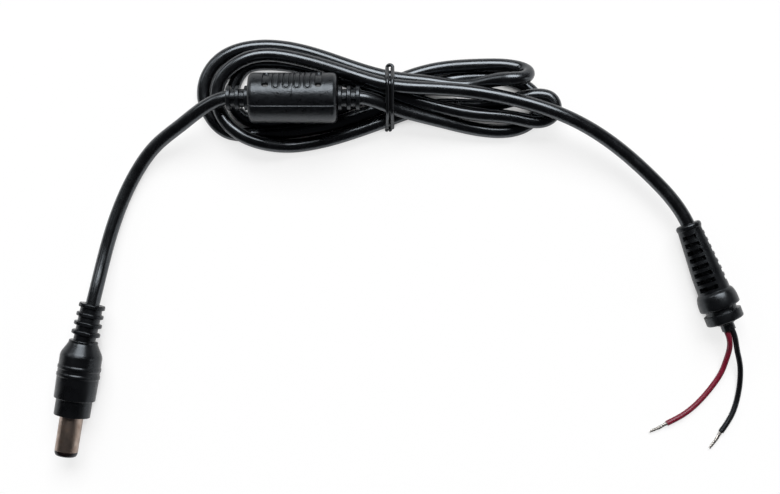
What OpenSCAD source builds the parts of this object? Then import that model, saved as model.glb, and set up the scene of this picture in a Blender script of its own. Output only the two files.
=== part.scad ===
/* [Barrel] */
// Outside diameter of the nickel sleeve
barrel_d = 7.4; // [7:0.1:7.8]
// Length that stands out of the moulding, nose included
barrel_len = 13.1; // [11:0.1:14]
// Wall of the nickel sleeve
sleeve_wall = 0.4; // [0.3:0.05:0.5]
// Length of the rounded plastic nose at the tip
nose_len = 1.6; // [1:0.1:2]
// Diameter of the bore that the socket's contact enters
bore_d = 5; // [4.8:0.1:5.2]
// Wall of the inner contact tube
contact_wall = 0.25; // [0.2:0.05:0.3]
// Diameter of the centre pin
pin_d = 0.7; // [0.5:0.1:1]
// How far the centre pin ends behind the tip
pin_recess = 1.6; // [1:0.1:3]
// Length of sleeve held inside the moulding
seat_len = 8; // [6:0.5:9]
// Diameter of the flange at the sleeve's rear
flange_d = 9; // [8.8:0.1:9.2]

/* [Plug moulding] */
// Diameter of the collar round the barrel
collar_d = 11.5; // [11.2:0.1:12]
// Length of the collar
collar_len = 5.4; // [4:0.1:7]
// Diameter of the grip
body_d = 13.4; // [13:0.1:14.6]
// How much narrower the grip is at its front
body_taper = 0.3; // [0:0.1:0.6]
// Length of the grip
body_len = 13.9; // [12:0.1:18]
// Length of the domed shoulder
shoulder_len = 5.1; // [4.6:0.1:6]
// Diameter of the dome where the relief starts
shoulder_d = 9.2; // [9:0.1:10]
// Height of the two raised bands on the grip
band_h = 0.2; // [0.1:0.05:0.5]
// Length of the ringed strain relief
relief_len = 12; // [11:0.1:14]
// Angle by which the strain relief leans to one side
relief_lean = 4; // [0:0.5:6]
// Number of rings on the strain relief
relief_rings = 4; // [3:1:4]
// Diameter of the rings at the cord end
ring_d = 8.4; // [8:0.1:9]
// Width of one ring
ring_w = 1.4; // [1:0.1:1.8]
// Diameter of the stem that carries the rings
stem_d = 7; // [6:0.1:7.4]
// Diameter of the inner mould round the solder joints
inner_d = 9.8; // [9.6:0.1:10.4]
// Length of the inner mould
inner_len = 16; // [14:0.5:16]

/* [Cord] */
// Outside diameter of the cord
cord_d = 4.3; // [3.8:0.1:4.3]
// Outside diameter of each insulated wire
wire_d = 1.8; // [1.5:0.1:1.9]
// Diameter of the tinned strands
strand_d = 1.1; // [0.8:0.1:1.3]
// Length of cord held inside the plug moulding
cord_seat = 16; // [14:0.5:16]

/* [Ferrite] */
// Diameter of the moulding round the ferrite
ferrite_d = 16; // [15:0.5:17]
// Length of the moulding without its reliefs
ferrite_len = 28; // [26:0.5:31]
// Rounding of the moulding's two ends
ferrite_round = 1.6; // [1:0.1:2.5]
// Diameter of the ferrite core
core_d = 12.8; // [11:0.1:13]
// Length of the ferrite core
core_len = 23; // [20:0.5:24]
// Bore of the ferrite core
core_bore = 5; // [4.8:0.1:6]
// Length of each end relief
end_relief_len = 7.2; // [6.5:0.1:8]
// Diameter of the end relief rings
end_ring_d = 7.8; // [7:0.1:8.4]
// Width of the end relief rings
end_ring_w = 1.5; // [1.2:0.1:1.8]
// Diameter of the end relief stem
end_stem_d = 5.7; // [5.4:0.1:6.2]
// Spacing of the moulded ovals
oval_pitch = 3.3; // [3:0.1:3.5]

/* [Strain relief boot] */
// Length of the tapered slotted sleeve
taper_len = 23.2; // [22:0.2:26]
// Diameter at the thin end
taper_d1 = 7.8; // [7.4:0.1:8.4]
// Diameter at the collar end
taper_d2 = 10.4; // [9.8:0.1:10.8]
// Number of slot rows
slot_rows = 8; // [6:1:8]
// Width of one slot along the cord
slot_w = 1.3; // [1:0.1:1.6]
// Diameter of the shouldered collar
boot_collar_d = 13.1; // [12.6:0.1:14]
// Length of the collar
boot_collar_len = 5.6; // [5:0.1:7]
// Diameter of the groove that a case wall sits in
groove_d = 10; // [9:0.1:10.4]
// Width of the groove
groove_w = 1.6; // [1.2:0.1:2.4]
// Diameter of the flange
boot_flange_d = 12.2; // [12:0.1:13]
// Thickness of the flange
boot_flange_t = 3.2; // [2.5:0.1:4]
// Length of the neck behind the flange
neck_len = 0.8; // [0.5:0.1:2]
// Length of bare cord past the neck
cord_tail = 2.2; // [1:0.1:4]

/* [Cord tie] */
// Thickness of the tie's coated wire
tie_t = 1.2; // [1:0.1:1.3]
// Spacing of the tie's two turns
tie_pitch = 1.7; // [1.5:0.1:2]

/* [Hidden] */
$fn = 64;

axis_h = body_d / 2 + band_h;
lean_back = 2.3;
relief_reach = (relief_len + lean_back) * cos(relief_lean) - lean_back
  + ring_d / 2 * sin(relief_lean);
total_len = barrel_len + collar_len + body_len + shoulder_len + relief_reach;
tip_y = -total_len / 2;
face_y = tip_y + barrel_len;
body_y = face_y + collar_len;
shoulder_y = body_y + body_len;
relief_y = shoulder_y + shoulder_len;
pivot_y = relief_y - lean_back;
seat_y = face_y + seat_len;
inner_y = face_y + 2;
flange_t = 0.8;
insulator_lip = 1;
seat_d = barrel_d + 0.4;
seat_step = 0.1;
sleeve_in = barrel_d / 2 - sleeve_wall;
contact_rear_y = seat_y + insulator_lip + 0.5;
tab_y = seat_y + 5;
tab_w = 1.8;
relief_pitch = (relief_len - ring_w) / (relief_rings - 0.4);
ring_step = 0.25;
sleeve_tab_x = barrel_d / 2 + 0.25;
tab_t = 0.4;
contact_tab_x = bore_d / 2 + contact_wall;
core_gap = 0.2;
fit = 0.05;

ferrite_at = [55, 99.6, 12.8];
ferrite_turn = 9;
ferrite_end = ferrite_len / 2 + end_relief_len;
boot_turn = -59.5;
boot_len = taper_len + boot_collar_len + groove_w + boot_flange_t + neck_len;
boot_at = [186.1, 80.1, boot_collar_d / 2];
boot_dir = [cos(boot_turn), sin(boot_turn), 0];
boot_side = [sin(boot_turn), -cos(boot_turn), 0];
cord_end = boot_len + cord_tail;
wire_side = wire_d / 2 + 0.03;
tie_turn = 9;

// A point on the leaning strain relief, s from its pivot in the dome, and to one side
function along_relief(s, side = 0) = [s * sin(relief_lean) + side * cos(relief_lean),
  pivot_y + s * cos(relief_lean) - side * sin(relief_lean), axis_h];
relief_end = relief_len + lean_back;
cord_in = relief_end - cord_seat;
function along_ferrite(s) = ferrite_at + s * [cos(ferrite_turn), sin(ferrite_turn), 0];
function along_boot(s, side = 0) = boot_at + s * boot_dir + side * boot_side;

// The cord's route, stretch by stretch, from the plug to the boot
from_plug = [along_relief(cord_in), along_relief(relief_end + 0.4), [1.3, 29.5, 6.4], [1.5, 36.5, 4.8],
  [2.5, 49, 3.2], [7.5, 69, 3], [12.5, 78, 4.8], [20.5, 86, 8.6], [29.5, 94, 12.2]];
through_ferrite = [along_ferrite(-ferrite_end - 0.6), along_ferrite(ferrite_end + 0.6)];
right_loop_1 = [[85.5, 102, 9.9], [102, 100.5, 5.4], [118.5, 99.5, 2.3], [127, 101.5, 2.2],
  [132, 106, 2.2], [133, 111.5, 2.2], [129.5, 115.5, 2.2], [122.5, 117.5, 2.2], [113.5, 117, 2.2],
  [100.5, 113, 2.4], [85.5, 104, 3.5]];
left_loop_1 = [[71.5, 96, 2.5], [53.5, 89.5, 2.2], [42.5, 87, 2.2], [34.5, 86.5, 2.2],
  [28, 91, 2.2], [25, 97, 2.2], [25.5, 104.5, 2.2], [29.5, 110.5, 2.2], [36.5, 114.5, 2.2],
  [49.5, 116.5, 2.6], [67.5, 114, 5.4], [84.5, 111.5, 8]];
right_loop_2 = [[97, 112, 7.9], [110, 113, 7.8], [117.5, 115.5, 11.2], [123, 116.5, 13.2],
  [126, 117.5, 12.1], [127.5, 119.5, 9.4], [126, 121, 6.7], [123, 121.5, 5.6], [113, 120.5, 4.8],
  [98, 117, 3.4], [84.5, 110, 3.5]];
left_loop_2 = [[71, 101, 2.5], [53, 94, 2.2], [43.5, 92.5, 2.2], [37, 94, 2.2],
  [34, 98.5, 2.2], [34, 103.5, 2.2], [37, 108, 2.2], [43.5, 110.5, 2.2], [54.5, 111, 2.8],
  [70, 108.5, 6.1], [85, 106.5, 8.2]];
right_loop_3 = [[98, 105.5, 7.4], [114.5, 105, 6.9], [126, 105.5, 6.9], [136, 107, 6.9],
  [138.5, 108.5, 6.9], [139, 111.5, 6.9], [137.5, 114, 6.9], [135, 114.5, 6.9], [125, 111.5, 5.8],
  [115, 108, 2.4], [100, 105.5, 2.6], [86.5, 99, 3.5]];
left_loop_3 = [[72.5, 91.5, 2.7], [54.5, 85, 2.8], [46.5, 84.5, 5.6], [39.5, 86, 6.8],
  [34, 89.5, 6.5], [30, 96, 5.7], [30, 102, 5.8], [33, 107, 6.3], [39.5, 111.5, 6.5],
  [52.5, 113, 6.9], [70, 110.5, 10], [85, 108.5, 12.1]];
to_boot = [[97.5, 109.5, 12.2], [110, 110.5, 12.1], [126, 110, 12], [139.5, 108, 11.6],
  [156, 102.5, 9], [171.5, 93.5, 7.2], along_boot(-0.6), along_boot(cord_end)];
cord_route = concat(from_plug, through_ferrite, right_loop_1, left_loop_1, right_loop_2,
  left_loop_2, right_loop_3, left_loop_3, to_boot);

// The points where the seven strands pass through the tie
tied = [right_loop_1[0], right_loop_1[10], left_loop_1[11], right_loop_2[10],
  left_loop_2[10], right_loop_3[11], left_loop_3[11]];
tie_at = [85, 105.5, 0];
tie_across = [-sin(tie_turn), cos(tie_turn), 0];

// The two wires, from the end of the cord to the end of their insulation
wire_start = cord_end + 0.05;
red_route = [along_boot(wire_start, wire_side), along_boot(wire_start + 2, wire_side), [207, 42, 4.4],
  [207.2, 38, 3], [206.5, 34, 1.8], [204, 29.5, 1.1], [200.5, 24, 0.9], [196, 18.8, 0.9],
  [191, 15, 0.9]];
red_tip = [186, 11.2, 0.9];
black_route = [along_boot(wire_start, -wire_side), along_boot(wire_start + 2, -wire_side),
  [208.8, 42.5, 4.6], [210.5, 39, 3.4], [212, 34, 2], [212.5, 27.5, 1], [211.5, 21, 0.9],
  [208.9, 15, 0.9]];
black_tip = [206.3, 9, 0.9];

// Puts a shape drawn round +Z on the plug's axis, with its length along +Y
module on_plug() {
  translate([0, 0, axis_h]) rotate([-90, 0, 0]) children();
}

// Puts a shape drawn round +Z on the axis of the ferrite moulding, centred
module on_ferrite() {
  translate(ferrite_at) rotate([0, 0, ferrite_turn]) rotate([0, 90, 0]) children();
}

// Puts a shape drawn round +Z on the boot, from its thin end to its neck
module on_boot() {
  translate(boot_at) rotate([0, 0, boot_turn]) rotate([0, 90, 0]) children();
}

// A ring or tube between two diameters, from z0 to z1
module tube(d_out, d_in, z0, z1) {
  translate([0, 0, z0]) difference() {
    cylinder(d = d_out, h = z1 - z0);
    translate([0, 0, -1]) cylinder(d = d_in, h = z1 - z0 + 2);
  }
}

// A round rod between two points
module rod(a, b, d) {
  v = b - a;
  translate(a) rotate([0, acos(v[2] / norm(v)), atan2(v[1], v[0])]) cylinder(d = d, h = norm(v));
}

// A round-cornered outline point list: a quarter arc about a centre
function arc(c, r, a0, a1, n = 5) = [for (i = [0:n]) c + r * [cos(a0 + (a1 - a0) * i / n),
  sin(a0 + (a1 - a0) * i / n)]];

// The sweep that cords and wires share: one ring of points at each point of the route
function unit(v) = v / norm(v);
function heading(path, i) = unit(path[min(i + 1, len(path) - 1)] - path[max(i - 1, 0)]);
function ring(path, i, r, sides) = let (t = heading(path, i), s = unit(cross([0, 0, 1], t)),
  u = cross(t, s)) [for (k = [0:sides - 1]) path[i] + r * (cos(360 * k / sides) * s
  + sin(360 * k / sides) * u)];
module sweep(path, d, sides) {
  n = len(path);
  rings = [for (i = [0:n - 1]) each ring(path, i, d / 2, sides)];
  walls = [for (i = [0:n - 2], k = [0:sides - 1]) let (a = i * sides + k,
    b = i * sides + (k + 1) % sides) each [[a, b + sides, b], [a, a + sides, b + sides]]];
  first = [for (k = [0:sides - 1]) k];
  last = [for (k = [sides - 1:-1:0]) (n - 1) * sides + k];
  polyhedron(points = rings, faces = concat([first, last], walls));
}

// Solder tabs of the sleeve and of the inner contact
module sleeve_tab() {
  translate([sleeve_tab_x, -tab_w / 2, seat_y - flange_t / 2])
    cube([tab_t, tab_w, tab_y - seat_y]);
}
module contact_tab() {
  translate([-contact_tab_x, -tab_w / 2, contact_rear_y - 0.5])
    cube([tab_t, tab_w, tab_y - contact_rear_y + 1]);
}

// Nickel sleeve with its rear flange and solder tab
module barrel_sleeve() {
  color("silver") on_plug() difference() {
    union() {
      translate([0, 0, tip_y + nose_len])
        cylinder(d = barrel_d, h = face_y + seat_step - tip_y - nose_len);
      translate([0, 0, face_y + seat_step]) cylinder(d = seat_d, h = seat_len - seat_step);
      translate([0, 0, seat_y - flange_t]) cylinder(d = flange_d, h = flange_t);
      sleeve_tab();
    }
    translate([0, 0, tip_y]) cylinder(r = sleeve_in, h = seat_y - tip_y + 1);
  }
}

// Moulded insulator between the two contacts, with the rounded nose
module tip_insulator() {
  nose_r = barrel_d / 2 - 0.2;
  lip_r = bore_d / 2 + contact_wall;
  color([0.13, 0.1, 0.09]) on_plug() rotate_extrude() polygon(concat(
    [[lip_r, tip_y]], arc([nose_r - 0.7, tip_y + 0.7], 0.7, -90, 0),
    [[nose_r, tip_y + nose_len], [sleeve_in, tip_y + nose_len],
    [sleeve_in, seat_y + insulator_lip], [lip_r, seat_y + insulator_lip]]));
}

// Inner contact tube with its solder tab
module inner_contact() {
  color("gold") on_plug() difference() {
    union() {
      translate([0, 0, tip_y + 0.5]) cylinder(d = bore_d + 2 * contact_wall,
        h = contact_rear_y - tip_y - 0.5);
      contact_tab();
    }
    translate([0, 0, tip_y]) cylinder(d = bore_d, h = contact_rear_y - tip_y);
  }
}

// Plastic disc that closes the bore and holds the centre pin
module contact_insulator() {
  color([0.1, 0.1, 0.1]) on_plug() tube(bore_d, pin_d, seat_y - 4, contact_rear_y);
}

// Centre pin with a rounded point
module centre_pin() {
  color("gold") on_plug() {
    translate([0, 0, tip_y + pin_recess]) cylinder(d1 = pin_d * 0.6, d2 = pin_d, h = 0.4);
    translate([0, 0, tip_y + pin_recess + 0.4]) cylinder(d = pin_d,
      h = contact_rear_y + 1 - tip_y - pin_recess - 0.4);
  }
}

// Insulated wires inside the plug, from the cord's end to the solder tabs
module plug_wires(side) {
  tab_end = side > 0 ? sleeve_tab_x - wire_d / 2 - core_gap
    : contact_tab_x - tab_t - wire_d / 2 - core_gap;
  rod(along_relief(cord_in - core_gap, side * wire_side),
    [side * tab_end, contact_rear_y + 1.2, axis_h], wire_d);
}
module plug_red_core() {
  color([0.6, 0.05, 0.1]) plug_wires(-1);
}
module plug_black_core() {
  color([0.06, 0.06, 0.06]) plug_wires(1);
}

// The space that the contacts take up in the plastic round them
module contact_space() {
  on_plug() {
    rotate_extrude() polygon([[0, face_y - 1], [seat_d / 2, face_y - 1],
      [seat_d / 2, seat_y - flange_t], [flange_d / 2, seat_y - flange_t], [flange_d / 2, seat_y],
      [sleeve_in, seat_y], [sleeve_in, seat_y + insulator_lip],
      [contact_tab_x, seat_y + insulator_lip], [contact_tab_x, contact_rear_y],
      [pin_d / 2, contact_rear_y], [pin_d / 2, contact_rear_y + 1], [0, contact_rear_y + 1]]);
    sleeve_tab();
    contact_tab();
  }
}

// Hard inner mould that holds the contacts and solder joints
module inner_mould() {
  color([0.85, 0.84, 0.8]) difference() {
    on_plug() translate([0, 0, inner_y]) cylinder(d = inner_d, h = inner_len);
    contact_space();
    plug_wires(1);
    plug_wires(-1);
  }
}

// Outline of a raised band on the grip, centred at y
function band(y) = [[body_d / 2, y - 0.6], [body_d / 2 + band_h, y - 0.3],
  [body_d / 2 + band_h, y + 0.3], [body_d / 2, y + 0.6]];

// Outline of the plug's moulding, from the collar's face to the end of the dome
function overmould_profile() = let (r = body_d / 2, rs = shoulder_d / 2) concat(
  [[0, face_y]], arc([collar_d / 2 - 0.6, face_y + 0.6], 0.6, -90, 0),
  [[collar_d / 2, body_y]],
  arc([r - body_taper / 2 - 0.9, body_y + 0.9], 0.9, -90, 0),
  band(shoulder_y - 6.2), band(shoulder_y - 3.7),
  [[r, shoulder_y], [r - 0.1, shoulder_y + 0.5], [r - 0.4, shoulder_y + 1.1],
  [rs + 0.25, relief_y - 1.2], [rs, relief_y - 0.8], [rs, relief_y], [0, relief_y]]);

// Stem and rings of the strain relief, drawn from the pivot in the dome
module relief() {
  difference() {
    union() {
      cylinder(d = stem_d, h = relief_end);
      for (i = [0:relief_rings - 1])
        translate([0, 0, relief_end - ring_w - i * relief_pitch])
          cylinder(d = ring_d + i * ring_step, h = ring_w);
    }
    for (s = [-1, 1])
      translate([-ring_d, s > 0 ? stem_d / 2 + 0.5 : -stem_d / 2 - 2.5, lean_back])
        cube([2 * ring_d, 2, relief_len + 1]);
  }
}

// Puts a shape drawn round +Z on the leaning axis of the strain relief
module on_relief() {
  translate([0, pivot_y, axis_h]) rotate([0, 0, -relief_lean]) rotate([-90, 0, 0]) children();
}

// Soft outer moulding: collar, grip, dome and ringed strain relief in one piece
module plug_overmould() {
  color([0.1, 0.1, 0.1]) difference() {
    union() {
      on_plug() rotate_extrude() polygon(overmould_profile());
      on_relief() relief();
    }
    on_plug() translate([0, 0, face_y - 1]) cylinder(d = barrel_d, h = 2);
    on_plug() translate([0, 0, face_y + seat_step]) cylinder(d = seat_d, h = inner_y - face_y);
    on_plug() translate([0, 0, inner_y]) cylinder(d = inner_d, h = inner_len);
    on_relief() translate([0, 0, cord_in - core_gap])
      cylinder(d = cord_d + 2 * fit, h = cord_seat + 1);
    plug_wires(1);
    plug_wires(-1);
  }
}

// The whole cord, swept along its route from inside the plug to inside the boot
module cord() {
  color([0.08, 0.08, 0.08]) sweep(cord_route, cord_d, 10);
}

// Ferrite tube that the cord passes through
module ferrite_core() {
  color([0.25, 0.24, 0.24]) on_ferrite() tube(core_d, core_bore, -core_len / 2, core_len / 2);
}

// A straight-sided oval, its length across the moulding
module oval(w, l) {
  square([w, l - w], center = true);
  for (s = [-1, 1])
    translate([0, s * (l - w) / 2]) circle(d = w);
}

// Puts a flat shape on the moulding's skin, at a place along it and an angle from its top
module on_skin(s, angle, depth) {
  rotate([0, 0, 180 - angle]) translate([ferrite_d / 2 - depth, 0, s])
    rotate([0, 90, 0]) linear_extrude(3) children();
}

// One end relief: three rings on a stem, joined by webs
module end_relief() {
  step = (end_relief_len - end_ring_w) / 2;
  cylinder(d = end_stem_d, h = end_relief_len);
  for (i = [0:2])
    translate([0, 0, i * step]) cylinder(d = end_ring_d, h = end_ring_w);
  translate([-end_ring_d / 2 + 0.4, -0.8, 0]) cube([end_ring_d - 0.8, 1.6, end_relief_len]);
}

// Moulding round the ferrite: slots, ovals, parting line and both end reliefs in one piece
module ferrite_moulding() {
  r = ferrite_d / 2;
  h = ferrite_len / 2;
  color([0.1, 0.1, 0.1]) on_ferrite() difference() {
    union() {
      rotate_extrude() polygon(concat([[0, -h]],
        arc([r - ferrite_round, ferrite_round - h], ferrite_round, -90, 0),
        arc([r - ferrite_round, h - ferrite_round], ferrite_round, 0, 90), [[0, h]]));
      translate([0, 0, h]) end_relief();
      mirror([0, 0, 1]) translate([0, 0, h]) end_relief();
    }
    cylinder(d = core_d, h = core_len, center = true);
    cylinder(d = cord_d + 2 * fit, h = 2 * ferrite_end + 2, center = true);
    for (i = [-1.5:1:1.5])
      on_skin(i * oval_pitch, 31, 0.35) difference() {
        oval(2.3, 4.6);
        oval(1.5, 3.8);
      }
    for (s = [-1, 1])
      on_skin(s * 2.5 * oval_pitch, 43, 0.7) oval(2.2, 5.6);
    for (s = [-1, 1])
      on_skin(s * 2.5 * oval_pitch, 26, 1.3) circle(d = 1.9);
    for (a = [-25, 155])
      on_skin(0, a, 0.3) square([ferrite_len + 2, 0.4], center = true);
  }
}

// One turn's outline round the seven strands, grown by g
module tie_outline(g) {
  hull() for (p = tied, s = [-1, 1])
    translate([(p - tie_at) * tie_across + s * 0.6, p[2]]) circle(r = cord_d / 2 + 0.1 + g, $fn = 32);
}

// Coated wire tie: two turns round the strands, an eye on top and a twisted end
module cord_tie() {
  low = min([for (p = tied) p[2]]) - cord_d / 2 - 0.1;
  side = [for (p = tied) (p - tie_at) * tie_across];
  color([0.09, 0.09, 0.09]) translate(tie_at) rotate([0, 0, tie_turn]) rotate([90, 0, 90]) {
    for (s = [-1, 1])
      translate([0, 0, s * tie_pitch / 2 - tie_t / 2]) linear_extrude(tie_t) difference() {
        tie_outline(tie_t);
        tie_outline(0);
      }
    translate([min(side) - cord_d / 2 - 3.2, low + 0.4, 0]) rotate([0, 90, 0])
      cylinder(d = 2 * tie_t, h = 2.2);
    translate([max(side) + cord_d / 2 + 1.9, 8, 0]) rotate([90, 0, 0])
      rotate_extrude() translate([tie_pitch / 2, 0]) circle(r = tie_t / 2 - 0.05, $fn = 24);
  }
}

// Outline of the boot, from the thin end to the neck
function boot_profile() = let (c = taper_len + boot_collar_len, g = c + groove_w,
  f = g + boot_flange_t, rc = boot_collar_d / 2, rf = boot_flange_d / 2) concat(
  [[0, 0], [taper_d1 / 2 - 0.4, 0], [taper_d1 / 2 + 0.2, 0.5], [taper_d1 / 2 + 0.2, 1.6],
  [taper_d1 / 2, 1.7], [taper_d2 / 2 - 0.1, taper_len * 0.75], [taper_d2 / 2, taper_len],
  [rc - 1.1, taper_len], [rc - 0.6, taper_len + 0.7], [rc - 0.2, taper_len + 2], [rc, taper_len + 3.6]],
  arc([rc - 0.5, c - 0.5], 0.5, 0, 90),
  [[groove_d / 2, c], [groove_d / 2, g]], arc([rf - 0.6, g + 0.6], 0.6, -90, 0),
  arc([rf - 0.9, f - 0.9], 0.9, 0, 90), [[cord_d / 2 + 0.9, f], [cord_d / 2 + 0.7, boot_len],
  [0, boot_len]]);

// Strain relief boot: slotted taper, collar, groove, flange and neck in one piece
module strain_relief_boot() {
  pitch = (taper_len - 3.4) / slot_rows;
  web = 1.7;
  color([0.1, 0.1, 0.1]) on_boot() difference() {
    rotate_extrude() polygon(boot_profile());
    translate([0, 0, -1]) cylinder(d = cord_d + 2 * fit, h = boot_len + 2);
    for (i = [0:slot_rows - 1], k = [0:2]) {
      r = taper_d1 / 2 + (taper_d2 - taper_d1) / 2 * min(1, (i + 0.5) / slot_rows / 0.8);
      shift = k == 1 ? 0.5 : 0;
      width = 1.5 * r - web;
      rotate([0, 0, 90 + 120 * k]) translate([cord_d / 2 + 0.55, -width / 2, 2.2 + (i + shift) * pitch])
        cube([4, width, slot_w]);
    }
  }
}

// The two insulated leads and their tinned strands
module red_lead() {
  color([0.6, 0.05, 0.1]) sweep(red_route, wire_d, 8);
}
module black_lead() {
  color([0.07, 0.07, 0.07]) sweep(black_route, wire_d, 8);
}
module red_wire_end() {
  color("silver") rod(red_route[len(red_route) - 1], red_tip, strand_d);
}
module black_wire_end() {
  color("silver") rod(black_route[len(black_route) - 1], black_tip, strand_d);
}

barrel_sleeve();
tip_insulator();
inner_contact();
contact_insulator();
centre_pin();
inner_mould();
plug_overmould();
plug_red_core();
plug_black_core();
cord();
ferrite_core();
ferrite_moulding();
cord_tie();
strain_relief_boot();
red_lead();
black_lead();
red_wire_end();
black_wire_end();
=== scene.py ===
import math

import bpy
import numpy as np
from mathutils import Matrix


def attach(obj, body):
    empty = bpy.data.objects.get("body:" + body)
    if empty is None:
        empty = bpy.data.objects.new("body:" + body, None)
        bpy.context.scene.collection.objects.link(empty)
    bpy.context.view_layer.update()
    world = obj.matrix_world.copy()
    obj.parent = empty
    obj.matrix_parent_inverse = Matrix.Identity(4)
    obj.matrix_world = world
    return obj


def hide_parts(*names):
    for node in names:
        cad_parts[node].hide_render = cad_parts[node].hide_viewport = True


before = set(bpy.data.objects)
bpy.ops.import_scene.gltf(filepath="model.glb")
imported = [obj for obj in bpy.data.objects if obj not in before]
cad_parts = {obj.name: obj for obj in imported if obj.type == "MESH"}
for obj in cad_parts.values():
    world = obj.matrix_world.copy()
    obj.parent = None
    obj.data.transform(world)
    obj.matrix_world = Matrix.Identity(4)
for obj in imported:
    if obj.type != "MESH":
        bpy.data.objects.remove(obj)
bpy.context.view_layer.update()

# ---------------------------------------------------------------- camera, table and light
# The lead lies on a white table and is seen from straight above, a little turned. A wide
# soft box past the coil draws the long highlights on the cord, and a weaker one on each
# side fills in.
CAMERA_AT, CAMERA_TURN, LENS_MM = (0.09263, 0.05779, 0.38), math.radians(9), 53.52
TABLE_HALF = 6.0
# the shares of plain white that the table shows to the camera and in reflections
SEEN_GLOW, MIRRORED_GLOW = 0.8, 0.2
# painted shade in the gaps: how far round a spot the strands count, and how open a spot is where
# the painted shade takes all of the white glow or none of it
SHADE_PAINT_REACH, SHADE_PAINT_FULL, SHADE_PAINT_NONE = 0.009, 0.2, 0.48

camera = bpy.data.objects.new("camera", bpy.data.cameras.new("camera"))
camera.data.lens, camera.data.sensor_width = LENS_MM, 36.0
camera.location = CAMERA_AT
camera.rotation_euler = (0.0, 0.0, CAMERA_TURN)
bpy.context.scene.collection.objects.link(camera)
bpy.context.scene.camera = camera
bpy.context.scene.view_settings.view_transform = "Standard"


def node(tree, kind, values=(), **props):
    """Adds one shader node of that kind, sets its props and then its inputs by name or number."""
    made = tree.nodes.new(kind)
    for key, value in props.items():
        setattr(made, key, value)
    for key, value in dict(values).items():
        if isinstance(value, bpy.types.NodeSocket):
            tree.links.new(value, made.inputs[key])
        else:
            made.inputs[key].default_value = value
    return made


table_mesh = bpy.data.meshes.new("table_top")
corners = np.array([[-1, -1], [1, -1], [1, 1], [-1, 1]]) * TABLE_HALF
table_mesh.from_pydata(np.c_[corners, np.zeros(4)].tolist(), [], [(0, 1, 2, 3)])
table_top = bpy.data.objects.new("table_top", table_mesh)
bpy.context.scene.collection.objects.link(table_top)

white_table = bpy.data.materials.new("white_table")
white_table.use_nodes = True
tree = white_table.node_tree
tree.nodes.clear()
paint = node(tree, "ShaderNodeBsdfDiffuse", {"Color": (0.92, 0.92, 0.92, 1), "Roughness": 0.5})
glow = node(tree, "ShaderNodeEmission", {"Color": (1, 1, 1, 1), "Strength": 1.0})
path = node(tree, "ShaderNodeLightPath")
mirrored = node(tree, "ShaderNodeMath", {0: path.outputs["Is Glossy Ray"],
                                         1: path.outputs["Is Transmission Ray"]}, operation="ADD")
mirrored = node(tree, "ShaderNodeMath", {0: mirrored.outputs[0], 1: MIRRORED_GLOW},
                operation="MULTIPLY")
seen = node(tree, "ShaderNodeMath", {0: path.outputs["Is Camera Ray"], 1: SEEN_GLOW,
                                     2: mirrored.outputs[0]}, operation="MULTIPLY_ADD")
# painted shade: the glow fades by ambient occlusion where the strands close in on the table, so
# that narrow gaps stay dark
painted_shade_ao = node(tree, "ShaderNodeAmbientOcclusion", {"Distance": SHADE_PAINT_REACH}, samples=12)
unshaded = node(tree, "ShaderNodeMapRange", {"Value": painted_shade_ao.outputs["AO"],
                                             "From Min": SHADE_PAINT_FULL, "From Max": SHADE_PAINT_NONE})
share = node(tree, "ShaderNodeMath", {0: seen.outputs[0], 1: unshaded.outputs[0]},
             operation="MULTIPLY")
mixed = node(tree, "ShaderNodeMixShader", {0: share.outputs[0], 1: paint.outputs[0],
                                           2: glow.outputs[0]})
node(tree, "ShaderNodeOutputMaterial", {"Surface": mixed.outputs[0]})
table_mesh.materials.append(white_table)

world = bpy.data.worlds.new("studio")
world.use_nodes = True
bpy.context.scene.world = world
tree = world.node_tree
tree.nodes.clear()
where = node(tree, "ShaderNodeTexCoord")
height = node(tree, "ShaderNodeSeparateXYZ", {0: where.outputs["Generated"]})
sky = node(tree, "ShaderNodeValToRGB", {0: height.outputs["Z"]})
low, high = sky.color_ramp.elements
low.position, low.color = 0.05, (0.25, 0.25, 0.25, 1)
high.position, high.color = 0.30, (0.03, 0.03, 0.033, 1)
air = node(tree, "ShaderNodeBackground", {"Color": sky.outputs[0], "Strength": 1.0})
node(tree, "ShaderNodeOutputWorld", {"Surface": air.outputs[0]})


def soft_box(name, size, place, target, power):
    """A rectangular area lamp at a place, its face towards a target, its long side level."""
    data = bpy.data.lights.new(name, "AREA")
    data.shape, data.size, data.size_y, data.energy = "RECTANGLE", size[0], size[1], power
    lamp = bpy.data.objects.new(name, data)
    lamp.location = place
    away = np.array(target, float) - np.array(place, float)
    lamp.rotation_euler = (math.atan2(math.hypot(away[0], away[1]), -away[2]), 0.0,
                           math.atan2(-away[0], away[1]))
    bpy.context.scene.collection.objects.link(lamp)


middle = (0.0926, 0.0578, 0.0)
soft_box("far_box", (1.7, 1.1), (-0.02, 1.30, 1.50), middle, 57.0)
soft_box("far_left_box", (0.9, 0.7), (-1.45, 0.95, 1.0), middle, 5.0)
soft_box("right_box", (0.5, 0.7), (1.7, 0.10, 0.45), middle, 1.8)

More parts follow.
